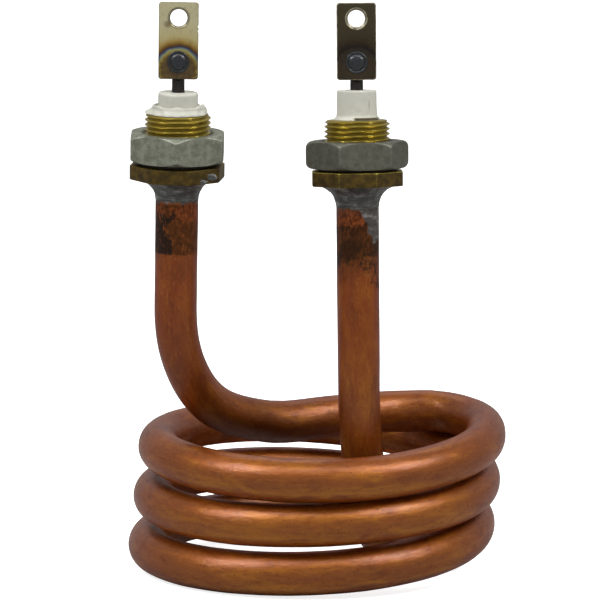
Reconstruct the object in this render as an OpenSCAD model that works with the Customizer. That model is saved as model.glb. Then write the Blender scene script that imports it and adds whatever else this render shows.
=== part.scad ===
// Copper-sheathed electric immersion heater.
// One tubular element is wound into three turns, and each end rises as a straight leg
// that carries a screwed brass fitting, a ceramic insulator and a screw terminal.
// Millimetres, +Z up. The coil stands on Z = 0 and the terminals face -Y.

/* [Element tube] */
// Outside diameter of the copper sheath
sheath_d = 13; // [12:0.5:13]
// Wall thickness of the sheath
sheath_wall = 0.9; // [0.6:0.1:1.2]
// Sides of the swept tube sections
tube_sides = 16; // [12:2:20]

/* [Coil] */
// Radius of the coil at the centre of the tube
coil_r = 50.8; // [50:0.1:53]
// Rise of one full turn
coil_pitch = 15.1; // [14.8:0.1:17]
// Angle that the coil axis leans forward when the heater stands on its lowest turn
coil_lean = 4.3; // [3.5:0.1:5]
// How much the turns fan apart towards the left, for each turn
fan_left = 0.9; // [0:0.1:1.5]
// How much the turns fan apart towards the back, for each turn
fan_back = 0.35; // [0:0.05:0.5]
// Height above the ground of the tube's centre where the first full turn begins
ground_h = 7.45; // [7.4:0.05:9]

/* [Fittings] */
// Width across the flats of the octagonal flange
flange_af = 27.6; // [26:0.2:30]
// Thickness of the flange
flange_t = 4.5; // [3:0.5:6]
// Outside diameter of the male thread
thread_d = 20; // [20:1:20]
// Pitch of the thread
thread_pitch = 1.5; // [1:0.25:2]
// Length of the threaded barrel above the flange
thread_l = 15.5; // [15:0.5:20]
// Width across the flats of the hexagon nut
nut_af = 28; // [27:0.5:30]
// Height of the hexagon nut
nut_h = 8.5; // [6:0.5:9]
// Outside diameter of the gasket under the nut
gasket_d = 24; // [22:0.5:26]
// Height of the solder fillet under the flange
solder_h = 6; // [4:0.5:8]

/* [Terminals] */
// Diameter of the terminal pin
pin_d = 4; // [3:0.25:4]
// Diameter of the ceramic boss
boss_d = 12.1; // [10:0.1:13]
// Diameter of the ceramic collar that sits on the barrel
collar_d = 17.4; // [15:0.1:18]
// Width of the terminal tab
tab_w = 12; // [10:0.5:14]
// Height of the terminal tab
tab_h = 23.4; // [20:0.2:26]
// Thickness of the terminal tab
tab_t = 1; // [0.8:0.1:1.5]
// Diameter of the screw hole in the tab
tab_hole_d = 5.2; // [4:0.1:5.6]

/* [Hidden] */
$fn = 96;

// The two legs: index 0 is the left one and index 1 is the right one.
LEFT = 0;
RIGHT = 1;
// Where each straight leg starts, and how far it leans about X and then about Y.
leg_foot = [[-43.2, -23, 85.9], [12.9, -23.6, 60.7]];
leg_lean = [[4.3, 1, 0], [-1.4, -0.5, 0]];
// Height of the flange's underside above the foot, measured along the leg.
flange_at = [39.3, 61.9];
// Turn of each octagonal flange and each hexagon nut about its leg.
flange_spin = [15, 22.5];
nut_spin = [30, 10];
// The right gasket is pressed flatter than the left one.
gasket_t = [1.2, 0.7];
// Heights above the flange's underside.
barrel_top = flange_t + thread_l;
boss_top = [26.5, 29.1];
tab_bottom = [30.7, 32.2];

sheath_r = sheath_d / 2;
sheath_bore_r = sheath_r - sheath_wall;
thread_r = thread_d / 2;
pin_r = pin_d / 2;
barrel_bore_r = sheath_r + 0.1;
gap = 0.05;

// Ends of the parts inside each leg, above the flange's underside.
sheath_end = 14;
core_end = 8;
pin_end = -30;
core_r = 5.3;
core_bore_r = 2.35;
coil_wire_r = 1.9;

// ---------------------------------------------------------------- route of the tube
// The coil is wound from coil_start to coil_stop degrees, counted from +X.
// Its first full turn begins at 180 degrees, where it touches the ground.
coil_start = 72;
coil_stop = 1076;
coil_step = 11;
spline_steps = 5;
// Sideways drift of the turn centres for each millimetre of height.
coil_drift = [0.108, -0.05];
drift_mid_h = 18;
coil_centre_y = 1;
// Part of the pitch that the hidden lead-in keeps, as it lies nearly flat.
lead_in_part = 0.65;

// Bend points of the lead-in, from the right leg round to the coil.
right_bend = [[14, -22.5, 39.7], [17.8, -13.1, 15.4], [26.8, 8.1, 6.8], [31.8, 24.1, 7.2], [27, 38.9, 7.5]];
// Bend points of the lead-out, from the coil across its top to the left leg.
left_bend = [
    [49.1, 15.8, 44.5], [41.5, 24.7, 45.5], [27, 26.7, 45.4], [6.5, 15.7, 45.5],
    [-16, 1.1, 46.1], [-33, -11.5, 53.9], [-42, -20.9, 71.9]
];

function unit(v) = v / norm(v);

// Height of the winding in the coil's own frame at angle a
function coil_h(a) =
    let (turn = (a - 180) / 360, rise = turn < 0 ? turn * lead_in_part : turn)
    coil_pitch * rise - fan_left * turn * cos(a) + fan_back * turn * sin(a);

// Point of the winding at angle a, with the coil leaned onto the ground
function coil_point(a) =
    let (
        h = coil_h(a),
        x = coil_r * cos(a) + coil_drift.x * (h - drift_mid_h),
        y = coil_r * sin(a) + coil_drift.y * (h - drift_mid_h)
    )
    [x, y * cos(coil_lean) - h * sin(coil_lean) + coil_centre_y,
     y * sin(coil_lean) + h * cos(coil_lean) + ground_h];

// Direction of a leg, pointing up
function leg_dir(side) =
    let (l = leg_lean[side])
    [cos(l.x) * sin(l.y), -sin(l.x), cos(l.x) * cos(l.y)];

// Point on a leg at a height above its flange's underside
function leg_point(side, h) = leg_foot[side] + (flange_at[side] + h) * leg_dir(side);

// Direction of a smooth curve at its inner point i, weighted by the nearer neighbour
function curve_dir(p, i) =
    let (
        before = p[i] - p[i - 1],
        after = p[i + 1] - p[i],
        b = norm(before),
        a = norm(after)
    )
    (before * a / b + after * b / a) / (a + b);

// Smooth curve through points p that starts along first_dir and ends along last_dir.
// The last point is left out, so that curves can be joined end to end.
function curve(p, first_dir, last_dir) =
    let (
        last = len(p) - 1,
        dirs = [for (i = [0:last]) i == 0 ? first_dir : i == last ? last_dir : curve_dir(p, i)]
    )
    [for (i = [0:last - 1], k = [0:spline_steps - 1])
        let (
            t = k / spline_steps,
            chord = norm(p[i + 1] - p[i]) / 3,
            c1 = p[i] + chord * dirs[i],
            c2 = p[i + 1] - chord * dirs[i + 1]
        )
        pow(1 - t, 3) * p[i] + 3 * pow(1 - t, 2) * t * c1 + 3 * (1 - t) * t * t * c2
            + pow(t, 3) * p[i + 1]];

// Whole route, from a height on the right leg to the same height on the left leg
function route(h) =
    let (
        turns = floor((coil_stop - coil_start) / coil_step),
        coil = [for (k = [0:turns]) coil_point(coil_start + k * (coil_stop - coil_start) / turns)],
        coil_in = unit(coil[1] - coil[0]),
        coil_out = unit(coil[turns] - coil[turns - 1]),
        lead_in = concat([leg_foot[RIGHT]], right_bend, [coil[0]]),
        lead_out = concat([coil[turns]], left_bend, [leg_foot[LEFT]])
    )
    concat(
        [leg_point(RIGHT, h)],
        curve(lead_in, -leg_dir(RIGHT), coil_in),
        [for (k = [0:turns - 1]) coil[k]],
        curve(lead_out, coil_out, leg_dir(LEFT)),
        [leg_foot[LEFT], leg_point(LEFT, h)]
    );

// Direction of the route at each of its points
function route_dirs(p) =
    [for (i = [0:len(p) - 1])
        i == 0 ? unit(p[1] - p[0])
        : i == len(p) - 1 ? unit(p[i] - p[i - 1])
        : unit(unit(p[i + 1] - p[i]) + unit(p[i] - p[i - 1]))];

// Side vector square to direction d and as near to v as it can be
function square_to(v, d) = unit(v - (v * d) * d);

// Side vectors carried along the route without twist
function route_sides(d) =
    [for (i = 0, v = square_to([1, 0, 0], d[0]); i < len(d);
        i = i + 1, v = i < len(d) ? square_to(v, d[i]) : v) v];

// Rings of points of radius r round the route
function route_rings(p, d, s, r, sides) =
    [for (i = [0:len(p) - 1], k = [0:sides - 1])
        let (a = 360 * k / sides)
        p[i] + r * (cos(a) * s[i] + sin(a) * cross(d[i], s[i]))];

// Quads that join ring to ring, with the first ring at point number start
function skin(rings, sides, start) =
    [for (i = [0:rings - 2], k = [0:sides - 1])
        let (a = start + i * sides, b = a + sides, n = (k + 1) % sides)
        [a + k, b + k, b + n, a + n]];

function flip(faces) = [for (f = faces) [for (i = [len(f) - 1:-1:0]) f[i]]];

// Closed solid rod along a route
module swept_rod(p, r, sides) {
    d = route_dirs(p);
    s = route_sides(d);
    rings = len(p);
    bottom = [for (k = [0:sides - 1]) k];
    top = [for (k = [0:sides - 1]) rings * sides - 1 - k];
    polyhedron(
        points = route_rings(p, d, s, r, sides),
        faces = concat(skin(rings, sides, 0), [bottom], [top]),
        convexity = 10
    );
}

// Hollow tube along a route, open at both ends
module swept_tube(p, outer_r, inner_r, sides) {
    d = route_dirs(p);
    s = route_sides(d);
    rings = len(p);
    inner = rings * sides;
    last = (rings - 1) * sides;
    start_rim = [for (k = [0:sides - 1]) let (n = (k + 1) % sides) [k, n, inner + n, inner + k]];
    end_rim = [for (k = [0:sides - 1])
        let (n = (k + 1) % sides)
        [last + n, last + k, inner + last + k, inner + last + n]];
    polyhedron(
        points = concat(
            route_rings(p, d, s, outer_r, sides),
            route_rings(p, d, s, inner_r, sides)
        ),
        faces = concat(skin(rings, sides, 0), flip(skin(rings, sides, inner)), start_rim, end_rim),
        convexity = 10
    );
}

// ---------------------------------------------------------------- element
// Copper sheath: coil and both legs in one length
module sheath() {
    color([0.62, 0.33, 0.2]) swept_tube(route(sheath_end), sheath_r, sheath_bore_r, tube_sides);
}

// Pressed magnesium oxide that fills the sheath and keeps the wire in its middle
module magnesia_core() {
    color([0.88, 0.87, 0.83]) swept_tube(route(core_end), core_r, core_bore_r, 8);
}

// Outer shape of the close-wound resistance wire, from one pin to the other
module resistance_coil() {
    color([0.45, 0.45, 0.48]) swept_rod(route(pin_end - gap), coil_wire_r, 8);
}

// ---------------------------------------------------------------- fittings
// Moves its children onto a leg, with the flange's underside at their Z = 0
module on_leg(side) {
    translate(leg_foot[side]) rotate(leg_lean[side]) translate([0, 0, flange_at[side]]) children();
}

// Outline of the barrel. The crests keep the full thread radius, with a narrow groove for
// each turn. One wider groove, hidden under the nut, sets the free end of the thread apart.
function barrel_outline(side) =
    let (
        depth = 0.5,
        groove_w = 0.45,
        relief_w = 0.9,
        chamfer = 0.9,
        nut_top = flange_t + gasket_t[side] + nut_h,
        below = floor((nut_top - flange_t - groove_w) / thread_pitch),
        above = floor((barrel_top - chamfer - nut_top) / thread_pitch)
    )
    concat(
        [[barrel_bore_r, 0], [thread_r + 1, 0], [thread_r + 1, flange_t - 0.5], [thread_r, flange_t]],
        [for (k = [-below:above])
            let (z = nut_top + k * thread_pitch, w = k == 0 ? relief_w : groove_w)
            each [[thread_r, z - w], [thread_r - depth, z - w / 2], [thread_r, z]]],
        [[thread_r, barrel_top - chamfer], [thread_r - chamfer, barrel_top], [barrel_bore_r, barrel_top]]
    );

// Brass bushing: octagonal flange and threaded barrel
module bushing(side) {
    corner_r = flange_af / 2 / cos(22.5);
    color([0.72, 0.56, 0.24]) on_leg(side) {
        rotate_extrude() polygon(barrel_outline(side));
        difference() {
            rotate([0, 0, flange_spin[side]]) cylinder(r = corner_r, h = flange_t, $fn = 8);
            translate([0, 0, -1]) cylinder(r = thread_r, h = flange_t + 2);
        }
    }
}

// Solder fillet that seals the flange to the sheath
module solder_joint(side) {
    reach = 12.2 - barrel_bore_r;
    steps = 8;
    fillet = [for (k = [0:steps])
        let (a = 90 * k / steps)
        [barrel_bore_r + 0.1 + reach * (1 - sin(a)), -solder_h * (1 - cos(a)) - gap]];
    color([0.6, 0.61, 0.61]) on_leg(side)
        rotate_extrude() polygon(concat([[barrel_bore_r, -gap]], fillet, [[barrel_bore_r, -solder_h - gap]]));
}

// Flat ring gasket under the nut
module gasket(side) {
    color([0.16, 0.14, 0.12]) on_leg(side) translate([0, 0, flange_t + gap]) difference() {
        cylinder(r = gasket_d / 2, h = gasket_t[side] - 2 * gap);
        translate([0, 0, -1]) cylinder(r = thread_r + 0.1, h = gasket_t[side] + 2);
    }
}

// Hexagon nut with both faces chamfered
module hex_nut(side) {
    corner_r = nut_af / 2 / cos(30);
    seat_r = nut_af / 2 + 0.1;
    chamfer_h = 1.3;
    lead = 0.9;
    bore_r = thread_r + 0.06;
    color([0.6, 0.62, 0.6]) on_leg(side) translate([0, 0, flange_t + gasket_t[side]]) difference() {
        intersection() {
            rotate([0, 0, nut_spin[side]]) cylinder(r = corner_r, h = nut_h, $fn = 6);
            rotate_extrude() polygon([
                [0, 0], [seat_r, 0], [corner_r + 0.1, chamfer_h],
                [corner_r + 0.1, nut_h - chamfer_h], [seat_r, nut_h], [0, nut_h]
            ]);
        }
        translate([0, 0, -1]) cylinder(r = bore_r, h = nut_h + 2);
        translate([0, 0, -gap]) cylinder(r1 = bore_r + lead, r2 = bore_r, h = lead);
        translate([0, 0, nut_h - lead + gap]) cylinder(r1 = bore_r, r2 = bore_r + lead, h = lead);
    }
}

// ---------------------------------------------------------------- terminals
// Steel pin, flattened where it meets the back of the tab
module terminal_pin(side) {
    flat_h = 9;
    top = tab_bottom[side] + flat_h;
    color([0.12, 0.11, 0.11]) on_leg(side) difference() {
        translate([0, 0, pin_end]) cylinder(r = pin_r, h = top - pin_end);
        translate([-pin_r - 1, -pin_r - 1, tab_bottom[side] - 0.4]) cube([pin_d + 2, 1.4, flat_h + 2]);
    }
}

// Moisture seal in the mouth of the sheath
module end_seal(side) {
    seal_r = sheath_bore_r - 0.2;
    color([0.75, 0.3, 0.22]) on_leg(side) difference() {
        translate([0, 0, core_end + gap]) cylinder(r = seal_r, h = sheath_end - core_end - 2 * gap);
        translate([0, 0, core_end - 1]) cylinder(r = pin_r + gap, h = sheath_end - core_end + 2);
    }
}

// Stepped ceramic insulator: spigot in the barrel, collar on its end and boss round the pin
module ceramic_insulator(side) {
    boss_r = boss_d / 2;
    spigot_r = barrel_bore_r - 0.1;
    round = 0.7;
    collar_h = 0.8;
    slope_h = 2;
    color([0.93, 0.92, 0.89]) on_leg(side) rotate_extrude() polygon([
        [pin_r + gap, sheath_end + gap],
        [spigot_r, sheath_end + gap],
        [spigot_r, barrel_top + gap],
        [collar_d / 2, barrel_top + gap],
        [collar_d / 2, barrel_top + collar_h],
        [boss_r + 0.2, barrel_top + slope_h],
        [boss_r, barrel_top + slope_h + 0.4],
        [boss_r, boss_top[side] - round],
        [boss_r - round, boss_top[side]],
        [pin_r + gap, boss_top[side]]
    ]);
}

// Centre heights of the two holes above the bottom edge of the tab
tab_hole_h = tab_h - 4.8;
weld_h = 5.3;
weld_r = 1.9;
// The tab's back lies on the flat of the pin.
tab_back_y = 0.4 - pin_r;

// Flat tab with a screw hole at the top and a plug weld at the bottom
module terminal_tab(side) {
    corner = 0.8;
    half = tab_w / 2;
    outline = [
        [-half + corner, 0], [half - corner, 0], [half, corner], [half, tab_h - corner],
        [half - corner, tab_h], [-half + corner, tab_h], [-half, tab_h - corner], [-half, corner]
    ];
    color([0.66, 0.64, 0.57]) on_leg(side)
        translate([0, tab_back_y, tab_bottom[side]]) rotate([90, 0, 0]) difference() {
            linear_extrude(tab_t) polygon(outline);
            translate([0, tab_hole_h, -1]) cylinder(r = tab_hole_d / 2, h = tab_t + 2);
            translate([0, weld_h, -1]) cylinder(r = weld_r, h = tab_t + 2);
        }
}

// Weld metal that fuses the tab to the pin, with a dished button on the front
module weld_plug(side) {
    button_r = 2.9;
    button_h = 0.4;
    color([0.25, 0.26, 0.3]) on_leg(side)
        translate([0, tab_back_y, tab_bottom[side] + weld_h]) rotate([90, 0, 0]) rotate_extrude() polygon([
            [0, gap], [weld_r - gap, gap], [weld_r - gap, tab_t], [button_r, tab_t + gap / 2],
            [button_r, tab_t + 0.2], [button_r - 0.5, tab_t + button_h],
            [1.6, tab_t + button_h], [0, tab_t + 0.15]
        ]);
}

module left_terminal_pin() { terminal_pin(LEFT); }
module left_end_seal() { end_seal(LEFT); }
module left_ceramic_insulator() { ceramic_insulator(LEFT); }
module left_bushing() { bushing(LEFT); }
module left_solder_joint() { solder_joint(LEFT); }
module left_gasket() { gasket(LEFT); }
module left_hex_nut() { hex_nut(LEFT); }
module left_terminal_tab() { terminal_tab(LEFT); }
module left_weld_plug() { weld_plug(LEFT); }
module right_terminal_pin() { terminal_pin(RIGHT); }
module right_end_seal() { end_seal(RIGHT); }
module right_ceramic_insulator() { ceramic_insulator(RIGHT); }
module right_bushing() { bushing(RIGHT); }
module right_solder_joint() { solder_joint(RIGHT); }
module right_gasket() { gasket(RIGHT); }
module right_hex_nut() { hex_nut(RIGHT); }
module right_terminal_tab() { terminal_tab(RIGHT); }
module right_weld_plug() { weld_plug(RIGHT); }

sheath();
magnesia_core();
resistance_coil();
left_terminal_pin();
left_end_seal();
left_ceramic_insulator();
left_bushing();
left_solder_joint();
left_gasket();
left_hex_nut();
left_terminal_tab();
left_weld_plug();
right_terminal_pin();
right_end_seal();
right_ceramic_insulator();
right_bushing();
right_solder_joint();
right_gasket();
right_hex_nut();
right_terminal_tab();
right_weld_plug();
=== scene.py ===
import math

import bmesh
import bpy
import numpy as np
from mathutils import Matrix, Vector, noise


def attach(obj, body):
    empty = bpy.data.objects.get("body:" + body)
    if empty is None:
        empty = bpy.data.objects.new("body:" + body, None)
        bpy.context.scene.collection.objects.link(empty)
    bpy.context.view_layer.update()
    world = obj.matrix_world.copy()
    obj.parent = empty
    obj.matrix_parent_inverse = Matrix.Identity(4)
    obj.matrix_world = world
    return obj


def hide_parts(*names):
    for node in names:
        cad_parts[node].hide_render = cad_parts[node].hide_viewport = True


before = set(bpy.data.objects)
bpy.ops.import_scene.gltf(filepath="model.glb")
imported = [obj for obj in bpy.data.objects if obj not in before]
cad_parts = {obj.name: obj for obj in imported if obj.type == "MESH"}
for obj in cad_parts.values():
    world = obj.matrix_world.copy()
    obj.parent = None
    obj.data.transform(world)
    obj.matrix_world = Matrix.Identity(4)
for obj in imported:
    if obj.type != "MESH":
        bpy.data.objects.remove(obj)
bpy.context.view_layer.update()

# Shapes are worked out in millimetres and become metres when a piece is made.
MM = 0.001
LEFT, RIGHT = 0, 1
NAMES = ("left", "right")

# ---------------------------------------------------------------- sizes shared with the CAD part
SHEATH_R, BORE_R = 6.5, 5.6
COIL_R, COIL_PITCH, COIL_LEAN = 50.8, 15.1, math.radians(4.3)
FAN_LEFT, FAN_BACK, GROUND_H, CENTRE_Y = 0.9, 0.35, 7.45, 1.0
COIL_START, COIL_STOP = 72.0, 1076.0
DRIFT, DRIFT_MID_H, LEAD_IN_PART = (0.108, -0.05), 18.0, 0.65
LEG_FOOT = (np.array([-43.2, -23.0, 85.9]), np.array([12.9, -23.6, 60.7]))
LEG_LEAN = ((math.radians(4.3), math.radians(1.0)), (math.radians(-1.4), math.radians(-0.5)))
FLANGE_AT = (39.3, 61.9)
RIGHT_BEND = [
    (14, -22.5, 39.7), (17.8, -13.1, 15.4), (26.8, 8.1, 6.8), (31.8, 24.1, 7.2), (27, 38.9, 7.5),
]
LEFT_BEND = [
    (49.1, 15.8, 44.5), (41.5, 24.7, 45.5), (27, 26.7, 45.4), (6.5, 15.7, 45.5),
    (-16, 1.1, 46.1), (-33, -11.5, 53.9), (-42, -20.9, 71.9),
]
FLANGE_AF, FLANGE_T, THREAD_R, THREAD_PITCH, BARREL_TOP = 27.6, 4.5, 10.0, 1.5, 20.0
NUT_AF, NUT_H, GASKET_T = 28.0, 8.5, (1.2, 0.7)
FLANGE_SPIN, NUT_SPIN = (15.0, 22.5), (30.0, 10.0)
BOSS_TOP, TAB_BOTTOM = (26.5, 29.1), (30.7, 32.2)
TAB_W, TAB_H, TAB_T, TAB_BACK_Y = 12.0, 23.4, 1.0, -1.6
SHEATH_END, BARREL_BORE_R, PIN_R = 14.0, 6.6, 2.0
TAB_HOLE_H, WELD_H = 18.6, 5.3

# How finely the tube is drawn: points on the coil and round the tube, steps between two points of a bend,
# millimetres between two points of a leg, and rings of the outside for each ring of the bore
COIL_POINTS, TUBE_SIDES, BEND_STEPS, LEG_STEP, BORE_STEP = 900, 64, 24, 0.6, 4


# ---------------------------------------------------------------- making pieces
def grid_faces(rows, cols):
    """Quads over a grid of rings that closes on itself both ways."""
    i, j = np.arange(rows)[:, None], np.arange(cols)[None, :]
    a, b = i * cols + j, i * cols + (j + 1) % cols
    c, d = ((i + 1) % rows) * cols + (j + 1) % cols, ((i + 1) % rows) * cols + j
    return np.stack([a, b, c, d], -1).reshape(-1, 4)


def finish_piece(mesh, name, material, body, replaces, sharp):
    """Cleans a mesh, shades it and hangs it on its body in place of its CAD nodes."""
    work = bmesh.new()
    work.from_mesh(mesh)
    bmesh.ops.remove_doubles(work, verts=work.verts, dist=2e-7)
    bmesh.ops.dissolve_degenerate(work, edges=work.edges, dist=2e-7)
    bmesh.ops.recalc_face_normals(work, faces=work.faces)
    work.to_mesh(mesh)
    work.free()
    mesh.shade_smooth()
    mesh.set_sharp_from_angle(angle=math.radians(sharp))
    mesh.materials.append(material)
    piece = bpy.data.objects.new(name, mesh)
    bpy.context.scene.collection.objects.link(piece)
    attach(piece, body)
    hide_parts(*replaces)


def make_piece(name, points, faces, material, body, replaces, matrix=None, sharp=40, **marks):
    """One piece from points in millimetres. marks are values stored on its points for the material."""
    points = np.asarray(points, float)
    mesh = bpy.data.meshes.new(name)
    mesh.from_pydata((points * MM).tolist(), [], faces.tolist() if hasattr(faces, "tolist") else faces)
    for key, values in {"mm": points, **marks}.items():
        values = np.asarray(values, np.float32)
        kind, field = ("FLOAT_VECTOR", "vector") if values.ndim == 2 else ("FLOAT", "value")
        mesh.attributes.new(key, kind, "POINT").data.foreach_set(field, values.ravel())
    if matrix is not None:
        mesh.transform(matrix)
    finish_piece(mesh, name, material, body, replaces, sharp)


def rounded(corners, radii, steps=4):
    """Closed outline with each corner replaced by a short curve of about its radius."""
    out, n = [], len(corners)
    for i in range(n):
        before, at, after = (np.array(corners[k % n], float) for k in (i - 1, i, i + 1))
        r = radii[i] if hasattr(radii, "__len__") else radii
        if r <= 0:
            out.append(at)
            continue
        a, b = before - at, after - at
        start = at + a / np.linalg.norm(a) * min(r, np.linalg.norm(a) * 0.45)
        end = at + b / np.linalg.norm(b) * min(r, np.linalg.norm(b) * 0.45)
        for k in range(steps + 1):
            t = k / steps
            out.append((1 - t) ** 2 * start + 2 * t * (1 - t) * at + t * t * end)
    return np.array(out)


def densify(outline, step):
    """Closed outline with points no further apart than step."""
    out = []
    for i, p in enumerate(outline):
        q = outline[(i + 1) % len(outline)]
        parts = max(1, math.ceil(np.linalg.norm(q - p) / step))
        for k in range(parts):
            out.append(p + (q - p) * k / parts)
    return np.array(out)


def full_circle(count, spin=0.0):
    """count angles round the axis, the first at spin degrees."""
    return math.radians(spin) + np.arange(count) * 2 * math.pi / count


def bell(value, middle, width):
    """1 at the middle, falling away smoothly on both sides."""
    return np.exp(-(((value - middle) / width) ** 2))


def peak(value, middle, width):
    """1 at the middle and 0 from width away, straight between."""
    return np.clip(1 - np.abs(value - middle) / width, 0, 1)


def noise_at(points, scale, seed=0.0):
    """Smooth noise between about -1 and 1 at each point."""
    shift = Vector((seed * 7.31, seed * 3.17, seed * 5.73))
    return np.array([noise.noise(Vector(p) * scale + shift) for p in points])


def turned(radius, height, theta):
    """Points of a turned shape: rows of radii and heights against the angles round the axis."""
    radius = np.broadcast_to(np.asarray(radius, float), (len(radius), len(theta)))
    height = np.broadcast_to(np.asarray(height, float), (len(height), len(theta)))
    return np.stack([radius * np.cos(theta), radius * np.sin(theta), height], -1).reshape(-1, 3)


def polygon_radius(theta, sides, apothem, spin, power):
    """Distance from the axis to a regular polygon whose corners are rounded a little."""
    normals = math.radians(spin) + (np.arange(sides) + 0.5) * 2 * math.pi / sides
    c = np.clip(np.cos(theta[:, None] - normals[None, :]), 0, 1)
    return apothem / (c**power).sum(1) ** (1 / power)


def soft_min(a, b, k):
    """The smaller of a and b, with the change from one to the other rounded off. k is how much."""
    m = np.minimum(a, b)
    return m - k * np.log(np.exp(-(a - m) / k) + np.exp(-(b - m) / k))


def thread_radius(theta, z):
    """External M20 x 1.5 thread. z is the height above the flange's underside."""
    turn = (z / THREAD_PITCH - theta / (2 * math.pi)) % 1.0
    away = np.abs(turn - 0.5) * 2
    return THREAD_R - 0.92 * np.clip((away - 0.125) / 0.75, 0, 1)


# ---------------------------------------------------------------- materials
def rgb(r, g, b):
    """Screen colour, 0 to 255, as the linear colour that a shader needs."""
    linear = [v / 255 / 12.92 if v <= 10 else ((v / 255 + 0.055) / 1.055) ** 2.4 for v in (r, g, b)]
    return (*linear, 1.0)


SOLDER_SHADES = [(0.3, rgb(62, 62, 60)), (0.5, rgb(90, 90, 88)), (0.68, rgb(160, 160, 156))]


class Paint:
    """A procedural material and short ways to add its nodes."""

    def __init__(self, name):
        self.mat = bpy.data.materials.new(name)
        self.mat.use_nodes = True
        self.tree = self.mat.node_tree
        self.tree.nodes.clear()
        self.shader = self.tree.nodes.new("ShaderNodeBsdfPrincipled")
        out = self.tree.nodes.new("ShaderNodeOutputMaterial")
        self.tree.links.new(self.shader.outputs[0], out.inputs[0])

    def put(self, socket, value):
        """Links a node's output to the socket, or sets the socket to a constant."""
        if isinstance(value, bpy.types.NodeSocket):
            self.tree.links.new(value, socket)
        else:
            socket.default_value = value

    def node(self, kind, out, inputs, **settings):
        n = self.tree.nodes.new("ShaderNode" + kind)
        for key, value in settings.items():
            setattr(n, key, value)
        for key, value in inputs.items():
            self.put(n.inputs[key], value)
        return n.outputs[out]

    def mark(self, name, out="Fac"):
        """One of the values that make_piece stored on the piece's points."""
        return self.node("Attribute", out, {}, attribute_name=name)

    def math(self, op, a, b=0.0, clamp=False):
        return self.node("Math", 0, {0: a, 1: b}, operation=op, use_clamp=clamp)

    def times(self, a, b, clamp=False):
        return self.math("MULTIPLY", a, b, clamp)

    def plus(self, a, b):
        return self.math("ADD", a, b)

    def minus(self, a, b):
        return self.math("SUBTRACT", a, b)

    def larger(self, a, b):
        return self.math("MAXIMUM", a, b)

    def stretch(self, vector, by):
        return self.node("VectorMath", 0, {0: vector, 1: by}, operation="MULTIPLY")

    def noise(self, vector, scale, detail=2.0, rough=0.5, distort=0.0):
        return self.node("TexNoise", 0, {
            "Vector": vector, "Scale": scale, "Detail": detail, "Roughness": rough, "Distortion": distort,
        })

    def spots(self, vector, scale, size):
        """1 in small round spots, 0 between them."""
        far = self.node("TexVoronoi", 0, {"Vector": vector, "Scale": scale})
        return self.step(far, size, size * 0.4)

    def step(self, value, low, high):
        """0 at low and 1 at high, smooth between. low may be above high."""
        t = self.node("MapRange", 0, {0: value, 1: low, 2: high, 3: 0.0, 4: 1.0})
        return self.node("MapRange", 0, {0: t}, interpolation_type="SMOOTHSTEP")

    def mix(self, fac, a, b):
        """A colour between a and b."""
        return self.node("Mix", 2, {0: fac, 6: a, 7: b}, data_type="RGBA")

    def between(self, fac, a, b):
        """A number between a and b."""
        return self.node("Mix", 0, {0: fac, 2: a, 3: b})

    def ramp(self, fac, stops):
        """Colours in steps of (position, colour)."""
        n = self.tree.nodes.new("ShaderNodeValToRGB")
        self.put(n.inputs[0], fac)
        while len(n.color_ramp.elements) < len(stops):
            n.color_ramp.elements.new(0.5)
        for element, (at, colour) in zip(n.color_ramp.elements, stops):
            element.position, element.color = at, colour
        return n.outputs[0]

    def bump(self, height, depth_mm):
        return self.node("Bump", 0, {"Height": height, "Distance": depth_mm * MM, "Strength": 1.0})

    def finish(self, **sockets):
        """Sets the shader's inputs and gives the finished material."""
        for key, value in sockets.items():
            self.put(self.shader.inputs[key.replace("_", " ").title().replace("Ior", "IOR")], value)
        return self.mat


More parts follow.
